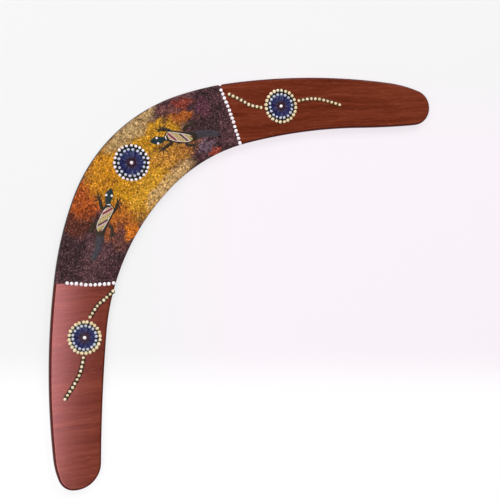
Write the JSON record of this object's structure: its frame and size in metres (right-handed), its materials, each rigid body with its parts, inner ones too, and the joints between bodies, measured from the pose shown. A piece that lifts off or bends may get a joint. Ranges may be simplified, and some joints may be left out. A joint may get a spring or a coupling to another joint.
{
  "type": "painted plywood boomerang",
  "caption": "V-shaped plywood boomerang with rounded rims, red-brown stain and gloss lacquer, and a hand-painted elbow with raised dot rows, dotted roundels and lizards.",
  "frame": {"origin": "on the plane of the plain underside, under the middle of the outline's box", "axes": "+X along the span to the right-hand tip, +Y out through the elbow, +Z out of the painted face"},
  "size_m": [0.4001, 0.1614, 0.0076],
  "materials": {
    "stained_veneer": "red-brown stain under gloss lacquer, fine straight grain",
    "stained_edge": "darker stained ply edges, satin",
    "elbow_paint": "sponged acrylic paint, plum to rust to golden yellow",
    "white_paint": "raised white dot paint",
    "cream_paint": "raised cream dot paint",
    "pale_blue_paint": "raised pale blue dot paint",
    "blue_paint": "royal blue paint with fine strokes",
    "black_paint": "black paint ground",
    "plum_paint": "dark plum paint",
    "lizard_paint": "dark teal paint"
  },
  "bodies": {
    "root": {"face_veneer": "stained_veneer", "upper_crossband": "stained_edge", "core_ply": "stained_edge", "lower_crossband": "stained_edge", "back_veneer": "stained_veneer", "elbow_panel": "elbow_paint", "left_dot_band": "white_paint", "right_dot_band": "white_paint", "elbow_roundel_centre_dot": "white_paint", "elbow_roundel_ground": "black_paint", "elbow_roundel_inner_dots": "pale_blue_paint", "elbow_roundel_iris": "blue_paint", "elbow_roundel_outer_dots": "white_paint", "elbow_roundel_pupil": "plum_paint", "left_inner_trail": "cream_paint", "left_lizard": "lizard_paint", "left_outer_trail": "cream_paint", "left_roundel_centre_dot": "white_paint", "left_roundel_ground": "black_paint", "left_roundel_inner_dots": "pale_blue_paint", "left_roundel_iris": "blue_paint", "left_roundel_outer_dots": "cream_paint", "left_roundel_pupil": "plum_paint", "right_inner_trail": "cream_paint", "right_lizard": "lizard_paint", "right_outer_trail": "cream_paint", "right_roundel_centre_dot": "white_paint", "right_roundel_ground": "black_paint", "right_roundel_inner_dots": "pale_blue_paint", "right_roundel_iris": "blue_paint", "right_roundel_outer_dots": "cream_paint", "right_roundel_pupil": "plum_paint"}
  },
  "joints": []
}
